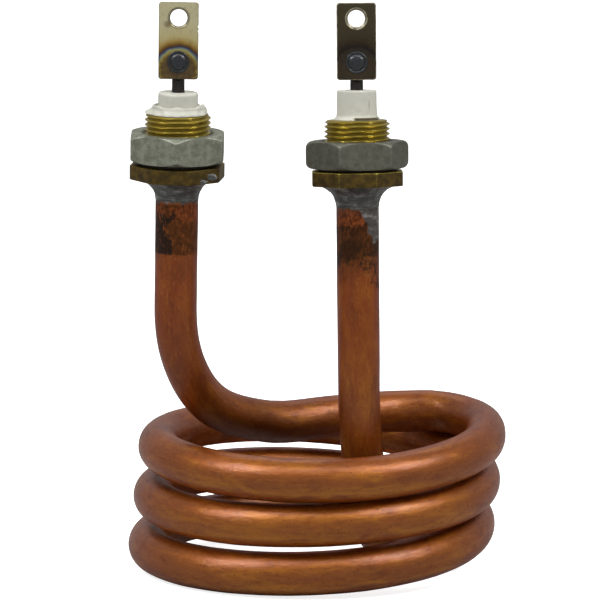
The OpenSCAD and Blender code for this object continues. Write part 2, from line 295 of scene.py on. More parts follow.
def copper_paint():
    """Worn copper, with the solder, scorch, rust and soot of both legs on top."""
    p = Paint("copper_sheath")
    tube = p.mark("tube", "Vector")
    streak = p.noise(p.stretch(tube, (0.03, 0.9, 0.9)), 1.0, 4.0, 0.6)
    blotch = p.noise(p.stretch(tube, (0.05, 0.11, 0.11)), 1.0, 4.0, 0.6, 0.6)
    gold = p.noise(p.stretch(tube, (0.05, 0.2, 0.2)), 1.3, 5.0, 0.62, 0.4)
    cloud = p.noise(p.stretch(tube, (0.16, 0.3, 0.3)), 1.0, 6.0, 0.7)
    speck = p.noise(p.stretch(tube, (0.6, 1.2, 1.2)), 1.0, 5.0, 0.8)
    dents = p.noise(p.stretch(tube, (0.22, 0.5, 0.5)), 1.0, 3.0, 0.6)
    colour = p.ramp(blotch, [
        (0.32, rgb(124, 52, 8)), (0.45, rgb(144, 65, 10)),
        (0.58, rgb(153, 74, 12)), (0.70, rgb(166, 90, 16)),
    ])
    colour = p.mix(p.times(p.mark("coiled"), 0.24), colour, rgb(168, 116, 58))
    golden = p.between(p.mark("coiled"), 0.15, 0.5)
    colour = p.mix(p.times(p.step(gold, 0.48, 0.66), golden), colour, rgb(190, 118, 26))
    colour = p.mix(p.times(p.step(cloud, 0.50, 0.70), 0.65), colour, rgb(116, 50, 8))
    colour = p.mix(p.times(p.step(streak, 0.52, 0.75), 0.25), colour, rgb(204, 122, 30))
    # A painted reflection of the floor: a paler band runs round the outside of the coil, below the middle of
    # each turn.
    wear_and_painted_reflection = p.times(p.mark("wear_and_painted_reflection"), p.step(gold, 0.36, 0.56))
    colour = p.mix(p.times(wear_and_painted_reflection, 0.55), colour, rgb(212, 136, 40))
    colour = p.mix(p.times(p.step(speck, 0.54, 0.70), 0.28), colour, rgb(226, 150, 70))
    colour = p.mix(p.times(p.step(speck, 0.45, 0.30), 0.5), colour, rgb(82, 34, 8))
    # Painted shade: the underside of the lead-out is painted darker.
    dull_tone_and_painted_shade = p.times(p.mark("dull_tone_and_painted_shade"), p.between(cloud, 0.9, 0.45))
    colour = p.mix(dull_tone_and_painted_shade, colour, rgb(58, 24, 8))
    pits = p.spots(tube, 0.5, 0.14)
    colour = p.mix(p.times(pits, 0.7), colour, rgb(66, 36, 22))
    rough = p.plus(p.times(cloud, 0.4), 0.25)

    # The stained areas are drawn as distances in millimetres, which noise makes ragged.
    # soft is small on the left leg, where the stains end at clean lines, and large on the right one.
    ragged_mm, patchy_mm = 9.0, 12.0
    ragged = p.times(p.minus(p.noise(p.stretch(tube, (0.8, 1.0, 1.0)), 0.5, 6.0, 0.75), 0.5), ragged_mm)
    patchy = p.times(p.minus(p.noise(tube, 0.23, 4.0, 0.6), 0.5), patchy_mm)
    fine = p.noise(p.stretch(tube, (0.7, 1.3, 1.3)), 0.9, 5.0, 0.7)
    soft = p.mark("soft")

    def stain(name, *roughen):
        distance = p.mark(name)
        for noise_mm in roughen:
            distance = p.plus(distance, noise_mm)
        return p.step(distance, -0.5, 0.6)

    burn = stain("burn", p.times(ragged, soft), p.times(patchy, p.times(soft, 0.5)))
    fade = p.times(p.step(p.plus(p.mark("burn"), p.times(patchy, 0.6)), -6.0, 1.5), soft)
    burn = p.larger(burn, p.times(fade, 0.6))
    scorched = p.ramp(fine, [
        (0.36, rgb(50, 32, 20)), (0.5, rgb(84, 50, 26)), (0.6, rgb(106, 62, 32)), (0.7, rgb(150, 82, 42)),
    ])
    colour = p.mix(p.times(burn, 0.9), colour, scorched)
    darker = p.times(burn, p.times(soft, p.step(cloud, 0.72, 0.42)))
    colour = p.mix(darker, colour, rgb(42, 27, 18))
    rust = stain("rust", ragged, p.times(patchy, 0.5))
    orange = p.mix(p.step(fine, 0.38, 0.64), rgb(80, 40, 20), rgb(152, 80, 42))
    colour = p.mix(p.times(rust, 0.9), colour, orange)
    soot = p.times(stain("soot", p.times(ragged, 1.6), patchy), p.larger(burn, soft))
    soot = p.times(soot, p.step(fine, 0.64, 0.54))
    colour = p.mix(p.times(soot, 0.92), colour, rgb(30, 26, 24))
    burnt = p.larger(burn, soot)
    rough = p.between(burnt, rough, 0.5)
    # Solder that has run down over the copper
    film = p.times(ragged, p.plus(p.times(soft, 0.7), 0.4))
    solder = stain("solder", film, p.times(patchy, p.times(soft, 0.5)))
    tin = p.ramp(p.noise(p.stretch(tube, (1.0, 0.4, 0.4)), 0.5, 6.0, 0.7, 0.4), SOLDER_SHADES)
    colour = p.mix(solder, colour, tin)
    rough = p.between(solder, rough, 0.45)
    covered = p.larger(burnt, solder)
    metal = p.between(covered, 0.75, 0.35)
    coat = p.between(covered, 0.75, 0.1)
    height = p.plus(p.times(speck, 1.9), p.times(pits, -0.8))
    height = p.plus(height, p.plus(p.times(streak, 0.5), p.times(dents, 2.4)))
    normal = p.bump(height, 0.055)
    return p.finish(
        base_color=colour, roughness=rough, metallic=metal, normal=normal,
        specular_tint=rgb(205, 130, 80), coat_weight=coat, coat_roughness=0.19, coat_normal=normal,
    )


def brass_paint():
    """Clean on the thread and tarnished on the flange, except where its edges are worn."""
    p = Paint("bushing_brass")
    at = p.mark("mm", "Vector")
    cloud = p.noise(at, 0.35, 5.0, 0.65)
    fine = p.noise(at, 2.5, 3.0, 0.6)
    clean = p.mix(cloud, rgb(178, 158, 62), rgb(206, 188, 92))
    # Painted shade in the thread roots.
    clean = p.mix(p.times(p.mark("root"), 0.55), clean, rgb(120, 92, 30))
    dull_tone_and_painted_shade = p.mix(p.step(cloud, 0.36, 0.68), rgb(78, 64, 36), rgb(116, 94, 42))
    wear_and_painted_reflection = p.plus(p.mark("wear"), p.times(fine, 1.2))
    tarnish = p.times(p.mark("tarnish"), p.step(wear_and_painted_reflection, 1.5, 0.85))
    colour = p.mix(tarnish, clean, dull_tone_and_painted_shade)
    rough = p.between(tarnish, 0.3, 0.45)
    grain = p.bump(p.noise(at, 1.2, 4.0, 0.6), 0.04)
    return p.finish(base_color=colour, roughness=rough, metallic=0.85, normal=grain)


def zinc_paint():
    """Dull zinc, darker on the right nut."""
    p = Paint("nut_zinc")
    at = p.mark("mm", "Vector")
    cloud = p.noise(at, 0.45, 6.0, 0.7, 0.4)
    speck = p.noise(at, 1.8, 4.0, 0.7)
    light = p.mix(p.step(cloud, 0.35, 0.65), rgb(126, 129, 112), rgb(160, 163, 146))
    dark = p.mix(p.step(cloud, 0.35, 0.65), rgb(98, 98, 86), rgb(116, 116, 104))
    colour = p.mix(p.mark("dark"), light, dark)
    colour = p.mix(p.times(p.step(speck, 0.55, 0.7), 0.3), colour, rgb(96, 92, 80))
    # The wear mark lightens the left nut's chamfer line, and paints a highlight along the right nut's
    # corners.
    colour = p.mix(p.times(p.mark("wear"), 0.3), colour, rgb(190, 194, 184))
    rough = p.plus(p.times(speck, 0.2), 0.42)
    return p.finish(base_color=colour, roughness=rough, metallic=0.75, normal=p.bump(speck, 0.05))


def solder_paint():
    p = Paint("solder")
    at = p.mark("mm", "Vector")
    cloud = p.noise(p.stretch(at, (0.4, 0.4, 1.0)), 0.6, 5.0, 0.7, 0.5)
    colour = p.ramp(cloud, SOLDER_SHADES)
    grain = p.bump(p.noise(at, 1.1, 4.0, 0.6), 0.12)
    return p.finish(base_color=colour, roughness=0.42, metallic=0.35, normal=grain)


def ceramic_paint():
    p = Paint("insulator_ceramic")
    at = p.mark("mm", "Vector")
    cloud = p.noise(at, 0.35, 4.0, 0.6)
    colour = p.mix(cloud, rgb(194, 193, 179), rgb(210, 210, 199))
    stain = p.step(p.noise(p.stretch(at, (0.5, 0.5, 0.25)), 1.0, 4.0, 0.7), 0.62, 0.8)
    colour = p.mix(p.times(stain, 0.45), colour, rgb(176, 164, 138))
    # Darker at the groove ring, the crack, and the painted shade in the right insulator's front gap.
    colour = p.mix(p.times(p.mark("dirt"), 0.9), colour, rgb(84, 74, 56))
    grain = p.bump(p.noise(at, 1.6, 4.0, 0.6), 0.03)
    return p.finish(base_color=colour, roughness=0.55, specular_ior_level=0.4, normal=grain)


def tab_paint(side):
    """Nickel-plated steel. Welding has coloured the left tab in arcs and darkened the right one."""
    p = Paint(NAMES[side] + "_tab_steel")
    at = p.mark("tab", "Vector")
    split = p.node("SeparateXYZ", 0, {0: at})
    x, z = split, split.node.outputs[2]
    wobble = p.minus(p.noise(at, 0.4, 3.0, 0.5), 0.5)
    # The arcs of heat colour have their centre this far below the weld.
    below_mm, reach_mm = 2.3, 12.0
    low = p.plus(z, below_mm)
    far = p.math("SQRT", p.plus(p.times(x, x), p.times(low, low)))
    heat = p.math("DIVIDE", p.plus(p.minus(far, below_mm), wobble), reach_mm, True)
    fine = p.noise(p.stretch(at, (1.0, 1.0, 0.3)), 2.0, 3.0, 0.6)
    if side == LEFT:
        stops = [
            (0.0, rgb(104, 86, 56)), (0.22, rgb(112, 90, 52)), (0.275, rgb(160, 136, 62)),
            (0.31, rgb(176, 172, 106)), (0.345, rgb(122, 138, 134)), (0.375, rgb(74, 80, 108)),
            (0.41, rgb(76, 56, 50)), (0.46, rgb(132, 96, 36)), (0.54, rgb(186, 158, 88)),
            (0.66, rgb(208, 194, 140)), (1.0, rgb(214, 206, 164)),
        ]
    else:
        stops = [
            (0.0, rgb(66, 58, 44)), (0.34, rgb(52, 45, 35)), (0.41, rgb(32, 26, 22)),
            (0.52, rgb(56, 44, 28)), (0.7, rgb(66, 58, 40)), (1.0, rgb(74, 66, 46)),
        ]
    colour = p.ramp(heat, stops)
    colour = p.mix(p.times(p.step(fine, 0.5, 0.75), 0.25), colour, rgb(90, 78, 56))
    # Brown patches beside and below the weld
    patch = p.times(p.step(p.noise(at, 0.4, 5.0, 0.65, 0.5), 0.42, 0.6), p.step(z, 2.6, -1.0))
    colour = p.mix(p.times(patch, 0.7), colour, rgb(74, 56, 34))
    grime = p.times(p.mark("wear"), -1.0, True)
    colour = p.mix(grime, colour, rgb(56, 48, 34))
    if side == LEFT:
        # One brown spot below the screw hole, towards its left
        spot = p.node("VectorMath", 1, {0: at, 1: (-3.3, -2.1, 11.3)}, operation="DISTANCE")
        spot = p.step(p.plus(spot, wobble), 1.7, 0.5)
        colour = p.mix(p.times(spot, 0.6), colour, rgb(98, 74, 42))
    worn = p.times(p.mark("wear"), p.step(p.noise(at, 0.5, 4.0, 0.6), 0.3, 0.6), True)
    colour = p.mix(worn, colour, rgb(214, 206, 176))
    return p.finish(base_color=colour, roughness=0.36, metallic=0.6, normal=p.bump(fine, 0.02))


def plain_paint(name, first, second, scale, rough, metal=0.0, bump_mm=0.02, marked=True):
    """Two close colours mixed by noise, for the pieces that have no other marks."""
    p = Paint(name)
    if marked:
        at = p.mark("mm", "Vector")
    else:
        at = p.stretch(p.node("TexCoord", "Object", {}), (1 / MM, 1 / MM, 1 / MM))
    cloud = p.noise(at, scale, 4.0, 0.6)
    colour = p.mix(cloud, first, second)
    return p.finish(base_color=colour, roughness=rough, metallic=metal, normal=p.bump(cloud, bump_mm))


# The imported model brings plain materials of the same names.
for plain in list(bpy.data.materials):
    bpy.data.materials.remove(plain)

COPPER, BRASS, ZINC = copper_paint(), brass_paint(), zinc_paint()
SOLDER, CERAMIC = solder_paint(), ceramic_paint()
TAB = (tab_paint(LEFT), tab_paint(RIGHT))
GASKET = plain_paint("gasket_fibre", rgb(40, 32, 24), rgb(62, 50, 36), 0.8, 0.8)
PIN = plain_paint("pin_steel", rgb(30, 28, 28), rgb(62, 58, 56), 0.9, 0.38, 0.6, 0.06)
WELD = plain_paint("weld_metal", rgb(42, 42, 42), rgb(80, 84, 88), 0.9, 0.33, 0.7, 0.1)
MAGNESIA = plain_paint("magnesia", rgb(214, 212, 202), rgb(236, 234, 226), 0.6, 0.9, marked=False)
WIRE = plain_paint(
    "resistance_wire", rgb(120, 118, 120), rgb(150, 148, 150), 0.8, 0.4, 0.9, marked=False,
)
SEAL = plain_paint("seal_silicone", rgb(170, 70, 52), rgb(190, 84, 62), 0.5, 0.6, marked=False)


# ---------------------------------------------------------------- route of the tube, as in the CAD part
def leg_dir(side):
    """Unit vector up along the leg."""
    lx, ly = LEG_LEAN[side]
    return np.array([math.cos(lx) * math.sin(ly), -math.sin(lx), math.cos(lx) * math.cos(ly)])


def leg_point(side, h):
    """A point on the leg's axis, h above the flange's underside."""
    return LEG_FOOT[side] + (FLANGE_AT[side] + h) * leg_dir(side)


def hand_bent(deg):
    """How far each turn stands above or below an even winding, where the coil was closed by hand."""
    # Middle and width along the winding in degrees, and rise in millimetres
    bends = ((990, 45, -0.55), (652, 40, 0.65), (1045, 32, 0.6))
    return sum(rise * bell(deg, at, width) for at, width, rise in bends)


def coil_point(deg):
    """A point on the coil's centre line, deg degrees along the winding."""
    a, turn = math.radians(deg), (deg - 180) / 360
    rise = turn * LEAD_IN_PART if turn < 0 else turn
    h = COIL_PITCH * rise - FAN_LEFT * turn * math.cos(a) + FAN_BACK * turn * math.sin(a)
    x = COIL_R * math.cos(a) + DRIFT[0] * (h - DRIFT_MID_H)
    y = COIL_R * math.sin(a) + DRIFT[1] * (h - DRIFT_MID_H)
    lean_c, lean_s = math.cos(COIL_LEAN), math.sin(COIL_LEAN)
    back = y * lean_c - h * lean_s + CENTRE_Y
    up = y * lean_s + h * lean_c + GROUND_H + hand_bent(deg)
    return np.array([x, back, up])


def curve(points, first, last, steps):
    """Smooth curve through the points, without its last point."""
    p = [np.array(q, float) for q in points]
    dirs = [first]
    for i in range(1, len(p) - 1):
        before, after = p[i] - p[i - 1], p[i + 1] - p[i]
        b, a = np.linalg.norm(before), np.linalg.norm(after)
        dirs.append((before * a / b + after * b / a) / (a + b))
    dirs.append(last)
    out = []
    for i in range(len(p) - 1):
        chord = np.linalg.norm(p[i + 1] - p[i]) / 3
        c1, c2 = p[i] + chord * dirs[i], p[i + 1] - chord * dirs[i + 1]
        for k in range(steps):
            t = k / steps
            near, far = (1 - t) ** 3 * p[i], t**3 * p[i + 1]
            out.append(near + 3 * (1 - t) ** 2 * t * c1 + 3 * (1 - t) * t * t * c2 + far)
    return out


def unit(v):
    return v / np.linalg.norm(v)


def full_route():
    """Centre line of the tube, from the end of the right leg to the end of the left one."""
    coil = [coil_point(a) for a in np.linspace(COIL_START, COIL_STOP, COIL_POINTS)]
    into, out_of = unit(coil[1] - coil[0]), unit(coil[-1] - coil[-2])
    legs = []
    for side in (LEFT, RIGHT):
        steps = int((SHEATH_END + FLANGE_AT[side]) / LEG_STEP)
        legs.append([leg_point(side, h) for h in np.linspace(SHEATH_END, -FLANGE_AT[side], steps)])
    lead_in = curve([LEG_FOOT[RIGHT], *RIGHT_BEND, coil[0]], -leg_dir(RIGHT), into, BEND_STEPS)
    lead_out = curve([coil[-1], *LEFT_BEND, LEG_FOOT[LEFT]], out_of, leg_dir(LEFT), BEND_STEPS)
    return np.array(legs[RIGHT][:-1] + lead_in + coil[:-1] + lead_out + legs[LEFT][::-1])


def leg_stains(drop, x, left):
    """Stained areas of both legs, each as a distance in millimetres that is above zero inside the area.

    drop is how far down the tube a point is from the flange's underside, and x how far right of its axis.
    """
    solder = 6.9 - drop + np.where(left, 0.0, 10.0 * np.clip((x - 0.5) / 4.0, 0, 1))
    burn_left = np.minimum(drop - 7.0, 22.7 - drop)
    burn_right = np.minimum(drop - 8.5, (22.5 - 0.2 * x - drop) * 0.7)
    rust_left = 2.0 - np.abs(drop - 9.4) + np.clip(x * 0.4, -1, 1)
    rust_right = 2.6 - np.abs(drop - 9.6) + np.clip(2.0 - x, -4, 0)
    # Soot lies on the left half of the left leg, less of it part way down, and in two marks on the right one.
    thin = 2.2 * bell(drop, 14.2, 2.4)
    soot_left = np.minimum(np.minimum(drop - 10.0, 24.5 - drop), -1.2 - x) - thin
    streak = np.minimum(3.0 - np.abs(drop - 24.5), 0.9 - np.abs(x - 3.4))
    edge_mark = np.minimum(1.4 - np.abs(drop - 30.0), x - 5.2)
    areas = {
        "solder": solder,
        "burn": np.where(left, burn_left, burn_right),
        "rust": np.where(left, rust_left, rust_right),
        "soot": np.where(left, soot_left, np.maximum(streak, edge_mark)),
    }
    marks = {name: np.clip(distance, -6, 6) for name, distance in areas.items()}
    marks["soft"] = np.where(left, 0.12, 0.9)
    return marks


def make_sheath():
    """The copper tube with its bore, as one closed surface."""
    route = full_route()
    dirs = np.gradient(route, axis=0)
    dirs /= np.linalg.norm(dirs, axis=1)[:, None]
    side = unit(np.array([1.0, 0, 0]) - dirs[0] * dirs[0][0])
    sides = []
    for d in dirs:
        side = unit(side - d * (side @ d))
        sides.append(side)
    sides = np.array(sides)
    ups = np.cross(dirs, sides)
    length = np.concatenate([[0], np.cumsum(np.linalg.norm(np.diff(route, axis=0), axis=1))])
    # Where two turns nearly touch, neither may swell into the other. Points closer than
    # neighbour_mm along the tube belong to the same turn and are left out.
    neighbour_mm = 60
    apart = np.linalg.norm(route[:, None] - route[None], axis=2)
    apart[np.abs(length[:, None] - length[None]) < neighbour_mm] = np.inf
    room = np.clip(apart.min(axis=1) - 2 * SHEATH_R, 0, 1)
    phi = full_circle(TUBE_SIDES)
    out = sides[:, None, :] * np.cos(phi)[None, :, None] + ups[:, None, :] * np.sin(phi)[None, :, None]
    # The drawn tube is not quite round or smooth where it was bent by hand.
    flat = np.stack([
        np.broadcast_to(length[:, None] * 0.07, out.shape[:2]),
        np.broadcast_to(np.cos(phi) * 1.2, out.shape[:2]),
        np.broadcast_to(np.sin(phi) * 1.2, out.shape[:2]),
    ], -1).reshape(-1, 3)
    swell = 0.07 * noise_at(flat, 1.0, 1) + 0.03 * noise_at(flat, 3.1, 2)
    below_right = length - SHEATH_END
    below_left = length[-1] - length - SHEATH_END
    near_left = below_left < below_right
    drop = np.where(near_left, below_left, below_right)
    fade = np.clip(drop / 12, 0, 1) * room
    # Bending makes the turns a little taller than they are wide.
    on_coil = np.clip((drop - 45) / 30, 0, 1)
    upright = out[:, :, 2] ** 2
    taller_mm, narrower_mm = 0.36, 0.1
    below = -narrower_mm * (1 - upright)
    above = (taller_mm + narrower_mm) * upright - narrower_mm
    oval = (on_coil * np.clip(2 * room, 0, 1))[:, None] * np.where(out[:, :, 2] > 0, above, below)
    radius = SHEATH_R + swell.reshape(out.shape[:2]) * fade[:, None] + oval
    outer = route[:, None, :] + out * radius[:, :, None]
    rows = np.unique(np.append(np.arange(0, len(route), BORE_STEP), len(route) - 1))[::-1]
    inner = route[rows][:, None, :] + out[rows] * BORE_R
    points = np.concatenate([outer, inner]).reshape(-1, 3)

    def spread(values):
        values = np.broadcast_to(values[:, None], out.shape[:2])
        return np.concatenate([values, values[rows]]).ravel()

    all_out = np.concatenate([out, out[rows]]).reshape(-1, 3)
    s, d, left = spread(length), spread(drop), spread(near_left.astype(float)) > 0.5
    rings = len(route) + len(rows)
    across, upward = np.tile(np.cos(phi) * SHEATH_R, rings), np.tile(np.sin(phi) * SHEATH_R, rings)
    marks = leg_stains(d, all_out[:, 0] * SHEATH_R, left)
    marks["coiled"] = spread(on_coil)
    # Painted shade: the underside of the lead-out is painted darkest.
    marks["dull_tone_and_painted_shade"] = np.where(left, bell(d, 98, 30), 0) * np.clip((0.45 - all_out[:, 2]) / 0.7, 0, 1)
    # Painted floor reflection: a paler band on the outside of each turn, below its middle.
    from_axis = outer.mean(axis=1) - outer.mean(axis=1)[on_coil == 1].mean(axis=0)
    from_axis[:, 2] = 0
    from_axis /= np.linalg.norm(from_axis, axis=1)[:, None]
    outside = np.clip(np.einsum("ijk,ik->ij", out, from_axis), 0, 1)
    wear_and_painted_reflection = on_coil[:, None] * outside**0.5 * bell(out[:, :, 2], -0.55, 0.22)
    marks["wear_and_painted_reflection"] = np.concatenate([wear_and_painted_reflection, wear_and_painted_reflection[rows]]).ravel()
    make_piece(
        "copper_sheath_tube", points, grid_faces(rings, TUBE_SIDES), COPPER, "heater", ["sheath"],
        tube=np.stack([s, across, upward], -1), **marks,
    )


make_sheath()


# ---------------------------------------------------------------- fittings
def leg_matrix(side):
    """Takes a fitting, drawn upright with the flange's underside at zero, to its place on the leg."""
    lx, ly = LEG_LEAN[side]
    turn = Matrix.Rotation(ly, 4, "Y") @ Matrix.Rotation(lx, 4, "X")
    up_leg = Matrix.Translation((0, 0, FLANGE_AT[side] * MM))
    return Matrix.Translation(Vector(LEG_FOOT[side] * MM)) @ turn @ up_leg


def make_bushing(side):
    """Octagonal flange and threaded barrel, as one closed turned shape."""
    count = 192
    theta = full_circle(count, FLANGE_SPIN[side])
    octagon = polygon_radius(theta, 8, FLANGE_AF / 2, FLANGE_SPIN[side], 90)
    # Each row is a radius, a height, and how much tarnish, thread root and wear it shows.
    rows, edge = [], 0.35
    for r in (BARREL_BORE_R, 9.0, 11.5):
        rows.append((np.full(count, r), 0.0, 1.0, 0.0, 0.0))
    flange = (
        (edge, 0.0), (edge * 0.3, edge * 0.3), (0, edge), (0, 1.5), (0, 3.0),
        (0, FLANGE_T - edge), (edge * 0.3, FLANGE_T - edge * 0.3), (edge, FLANGE_T),
    )
    for inset, z in flange:
        worn = 0.0
        if inset:
            worn = 1.0 if z > FLANGE_T / 2 else 0.4
        rows.append((octagon - inset, z, 1.0, 0.0, worn))
    for r in (12.0, 10.6, 9.6):
        rows.append((np.full(count, r), FLANGE_T, 0.8, 0.0, 0.0))
    # The thread runs out at both ends.
    root_r, run_out = THREAD_R - 0.95, 1.1
    for z in np.arange(FLANGE_T + 0.3, BARREL_TOP + 1e-6, 0.09):
        crest = thread_radius(theta, z)
        crest = np.minimum(crest, root_r + max(0.0, BARREL_TOP - z) * run_out)
        crest = np.minimum(crest, root_r + max(0.0, z - FLANGE_T - 1.0) * run_out)
        rows.append((crest, z, 0.0, 1.0, 0.0))
    mouth = (
        (8.7, BARREL_TOP), (7.2, BARREL_TOP), (BARREL_BORE_R + 0.2, BARREL_TOP),
        (BARREL_BORE_R, BARREL_TOP - 0.2), (BARREL_BORE_R, 10.0),
    )
    for r, z in mouth:
        rows.append((np.full(count, r), z, 0.2, 0.0, 0.0))
    radius = np.array([r[0] for r in rows])
    points = turned(radius, np.array([[r[1]] for r in rows]), theta)
    corner = peak((np.degrees(theta) - FLANGE_SPIN[side] + 22.5) % 45, 22.5, 2.2)
    wear = np.array([np.maximum(r[4], corner * (0.42 if r[2] == 1.0 else 0.0)) for r in rows])
    wear *= 0.35 if side == LEFT else 1.0
    root = np.array([r[3] * np.clip((THREAD_R - r[0]) / 0.9, 0, 1) for r in rows])
    tarnish = np.array([np.full(count, r[2]) for r in rows])
    points[:, :2] *= 1 + 0.0012 * noise_at(points, 0.5, 3 + side)[:, None]
    make_piece(
        NAMES[side] + "_brass_bushing", points, grid_faces(len(rows), count), BRASS, "heater",
        [NAMES[side] + "_bushing"], leg_matrix(side), 38,
        wear=wear.ravel(), root=root.ravel(), tarnish=tarnish.ravel(),
    )


def make_nut(side):
    """Hexagon nut with both faces chamfered and a thread that runs on the barrel's."""
    count = 300
    theta = full_circle(count, NUT_SPIN[side])
    hexagon = polygon_radius(theta, 6, NUT_AF / 2, NUT_SPIN[side], 110 if side == LEFT else 100)
    ease = 0.1 if side == LEFT else 0.18
    corner = peak((np.degrees(theta) - NUT_SPIN[side] + 30) % 60, 30, 2.4)
    base = FLANGE_T + GASKET_T[side]
    # Rings lie close together at both chamfers.
    chamfer_h, bore_r = 2.6, 10.96
    ends = np.arange(0, chamfer_h, 0.17)
    middle = np.linspace(chamfer_h, NUT_H - chamfer_h, 5)
    levels = np.unique(np.round(np.concatenate([ends, middle, NUT_H - ends]), 4))
    rows = []
    for z in levels:
        end = min(z, NUT_H - z)
        if side == LEFT:
            cone = 14.3 + 1.4 * end
        else:
            cone = 16.1 - 2.6 * (1 - math.sqrt(1 - max(0.0, 1 - end / 2.4) ** 2))
        r = soft_min(hexagon, np.full(count, cone), ease)
        worn = peak(hexagon, cone, 0.6) * (0.8 if side == LEFT else 0.1)
        # On the right nut the wear mark also carries a painted highlight along the corners.
        if side == RIGHT:
            worn = np.maximum(worn, corner * 0.3)
        rows.append((r, z, worn))
    top_r, bottom_r = rows[-1][0], rows[0][0]
    for t in (0.33, 0.66, 1.0):
        rows.append((top_r + (bore_r - top_r) * t, NUT_H, np.zeros(count)))
    for z in np.arange(NUT_H - 0.1, 0.05, -0.125):
        bore = np.maximum(thread_radius(theta, base + z) + 0.1, 9.3)
        rows.append((np.maximum(bore, bore_r - min(z, NUT_H - z)), z, np.zeros(count)))
    for t in (0.0, 0.33, 0.66):
        rows.append((bore_r + (bottom_r - bore_r) * t, 0.0, np.zeros(count)))
    points = turned(np.array([r[0] for r in rows]), np.array([[base + r[1]] for r in rows]), theta)
    outer = np.hypot(points[:, 0], points[:, 1]) > 12
    bumps = noise_at(points, 0.45, 5 + side) * 0.045 + noise_at(points, 1.4, 7 + side) * 0.02
    points[:, :2] *= 1 + (bumps * outer / 14)[:, None]
    make_piece(
        NAMES[side] + "_zinc_nut", points, grid_faces(len(rows), count), ZINC, NAMES[side] + "_nut",
        [NAMES[side] + "_hex_nut"], leg_matrix(side), 45,
        wear=np.array([r[2] for r in rows]).ravel(), dark=np.full(len(points), float(side)),
    )


def make_turned(
    name, outline, material, body, node, side,
    count, wobble, scale, seed, sharp=40, reshape=None, **marks,
):
    """A turned piece from a closed outline of radius and height, made slightly uneven by wobble."""
    theta = full_circle(count)
    points = turned(outline[:, :1], outline[:, 1:], theta)
    if reshape:
        reshape(points)
    away = noise_at(points, scale, seed + side) + 0.5 * noise_at(points, scale * 2.7, seed + 9 + side)
    points[:, :2] *= (1 + wobble * away / 10)[:, None]
    points[:, 2] += wobble * 0.4 * noise_at(points, scale, seed + 20 + side)
    values = {key: make(points) for key, make in marks.items()}
    make_piece(
        f"{NAMES[side]}_{name}", points, grid_faces(len(outline), count), material, body,
        [f"{NAMES[side]}_{node}"], leg_matrix(side), sharp, **values,
    )


def make_gasket(side):
    """Thin ring between the flange and the nut."""
    low, high = FLANGE_T + 0.05, FLANGE_T + GASKET_T[side] - 0.05
    outline = densify(rounded([(10.15, low), (12.1, low), (12.1, high), (10.15, high)], 0.25, 3), 0.5)
    make_turned(
        "fibre_gasket", outline, GASKET, NAMES[side] + "_gasket_ring", "gasket", side,
        count=120, wobble=0.05, scale=0.5, seed=11,
    )


def make_solder(side):
    """Concave fillet under the flange, with lumps where the solder ran."""
    count, inner_r, wide, high = 120, 6.62, 6.0, 6.2
    rows = [(inner_r, -0.05), (9.5, -0.05)]
    for k in range(17):
        a = math.pi / 2 * k / 16
        rows.append((inner_r + wide * (1 - math.sin(a)), -high * (1 - math.cos(a)) - 0.06))
    rows = np.array(rows)
    points = turned(rows[:, :1], rows[:, 1:], full_circle(count))
    # The curved face is uneven except at its two edges.
    place = np.arange(len(rows))
    free = np.clip((place - 2) / 3, 0, 1) * np.clip((len(rows) - 1 - place) / 3, 0, 1)
    free = np.repeat(free, count)
    lump = 0.35 * noise_at(points, 0.33, 31 + side) + 0.16 * noise_at(points, 0.9, 33 + side)
    points[:, 2] -= np.abs(lump) * free * 1.2
    points[:, :2] *= (1 + np.clip(lump, -0.05, 1) * free * 0.1)[:, None]
    faces = grid_faces(len(rows), count)
    if side == LEFT:
        # Three lumps of solder stick to the flange's front faces. Each is a centre and half sizes.
        lumps = [
            ((9.8, -9.3, 2.1), (2.5, 1.0, 1.2)),
            ((7.4, -11.1, 0.9), (1.9, 0.8, 0.7)),
            ((2.5, -12.0, -0.2), (2.8, 1.0, 0.5)),
        ]
        faces = [list(face) for face in faces]
        for centre, size in lumps:
            blob = bmesh.new()
            bmesh.ops.create_icosphere(blob, subdivisions=4, radius=1.0)
            ball = np.array([v.co for v in blob.verts])
            tris = np.array([[v.index for v in f.verts] for f in blob.faces])
            blob.free()
            ball *= 1 + 0.3 * noise_at(ball, 1.6, centre[0])[:, None]
            faces += (tris + len(points)).tolist()
            points = np.concatenate([points, ball * np.array(size) + np.array(centre)])
    make_piece(
        NAMES[side] + "_solder_fillet", points, faces, SOLDER, "heater", [NAMES[side] + "_solder_joint"],
        leg_matrix(side), 60,
    )


